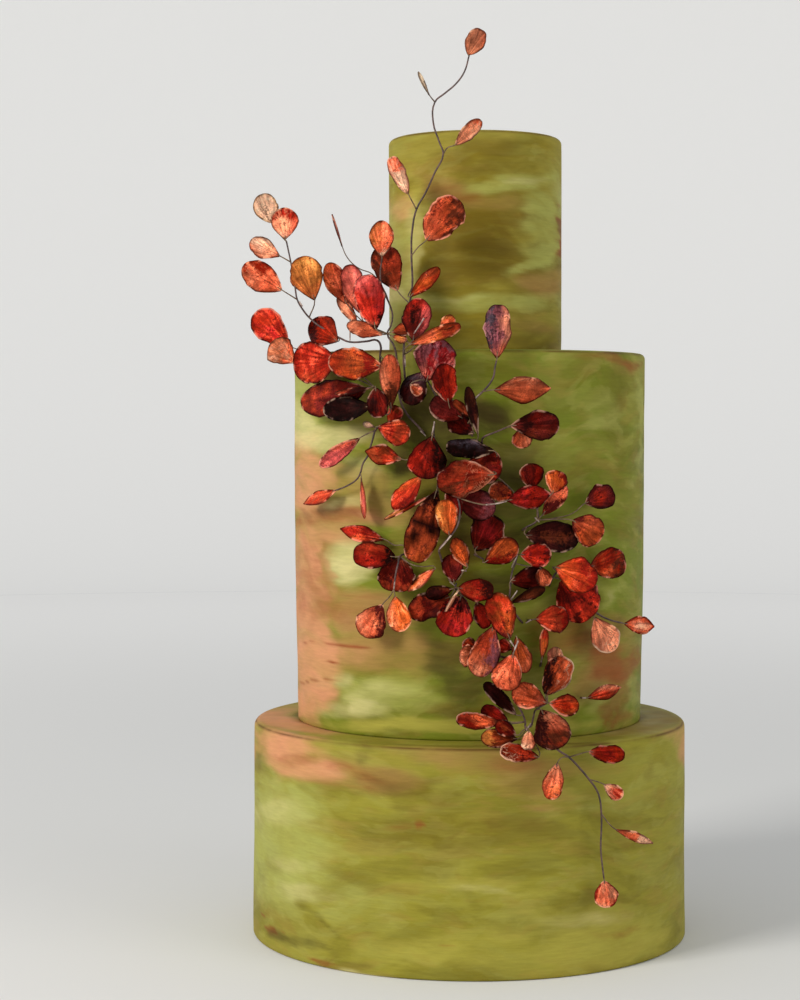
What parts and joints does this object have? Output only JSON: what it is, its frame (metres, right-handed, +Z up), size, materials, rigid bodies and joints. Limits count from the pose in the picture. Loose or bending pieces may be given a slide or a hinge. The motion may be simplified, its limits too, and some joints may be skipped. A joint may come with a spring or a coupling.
{
  "type": "tiered wedding cake",
  "caption": "Round tiered wedding cake in painted fondant, with a spray of wafer-paper leaves on wires trailing down its front from the upper left to the lower right.",
  "frame": {"origin": "centre of the bottom tier's flat base", "axes": "+Z up through the tiers; the front with the leaf spray faces -Y; +X is to the right as seen from the front"},
  "size_m": [0.254, 0.2735, 0.5152],
  "materials": {
    "fondant": "matt fondant, hand painted in washes of olive, yellow-green and warm brown",
    "leaves": "matt wafer paper, painted in mottled reds, oranges and near-black wine",
    "wires": "dark brown floral wire and tape"
  },
  "bodies": {
    "root": {"tier_bottom": "fondant", "tier_middle": "fondant", "tier_top": "fondant", "twig_crown": "leaves", "twig_cluster": "leaves", "twig_arch": "leaves", "twig_wine": "leaves", "twig_low_left": "leaves", "twig_heart_top": "leaves", "twig_upper_right": "leaves", "twig_dark_right": "leaves", "twig_heart_left": "leaves", "twig_heart": "leaves", "twig_flame": "leaves", "twig_right_high": "leaves", "twig_right_mid": "leaves", "twig_right_low": "leaves", "twig_crimson": "leaves", "twig_fan_left": "leaves", "twig_low_heart": "leaves", "twig_tail_left": "leaves", "twig_tail": "leaves", "twig_drop": "leaves", "twig_far_right": "leaves", "leaf_mid": "leaves", "leaf_upright": "leaves", "leaf_low_right": "leaves"}
  },
  "joints": []
}
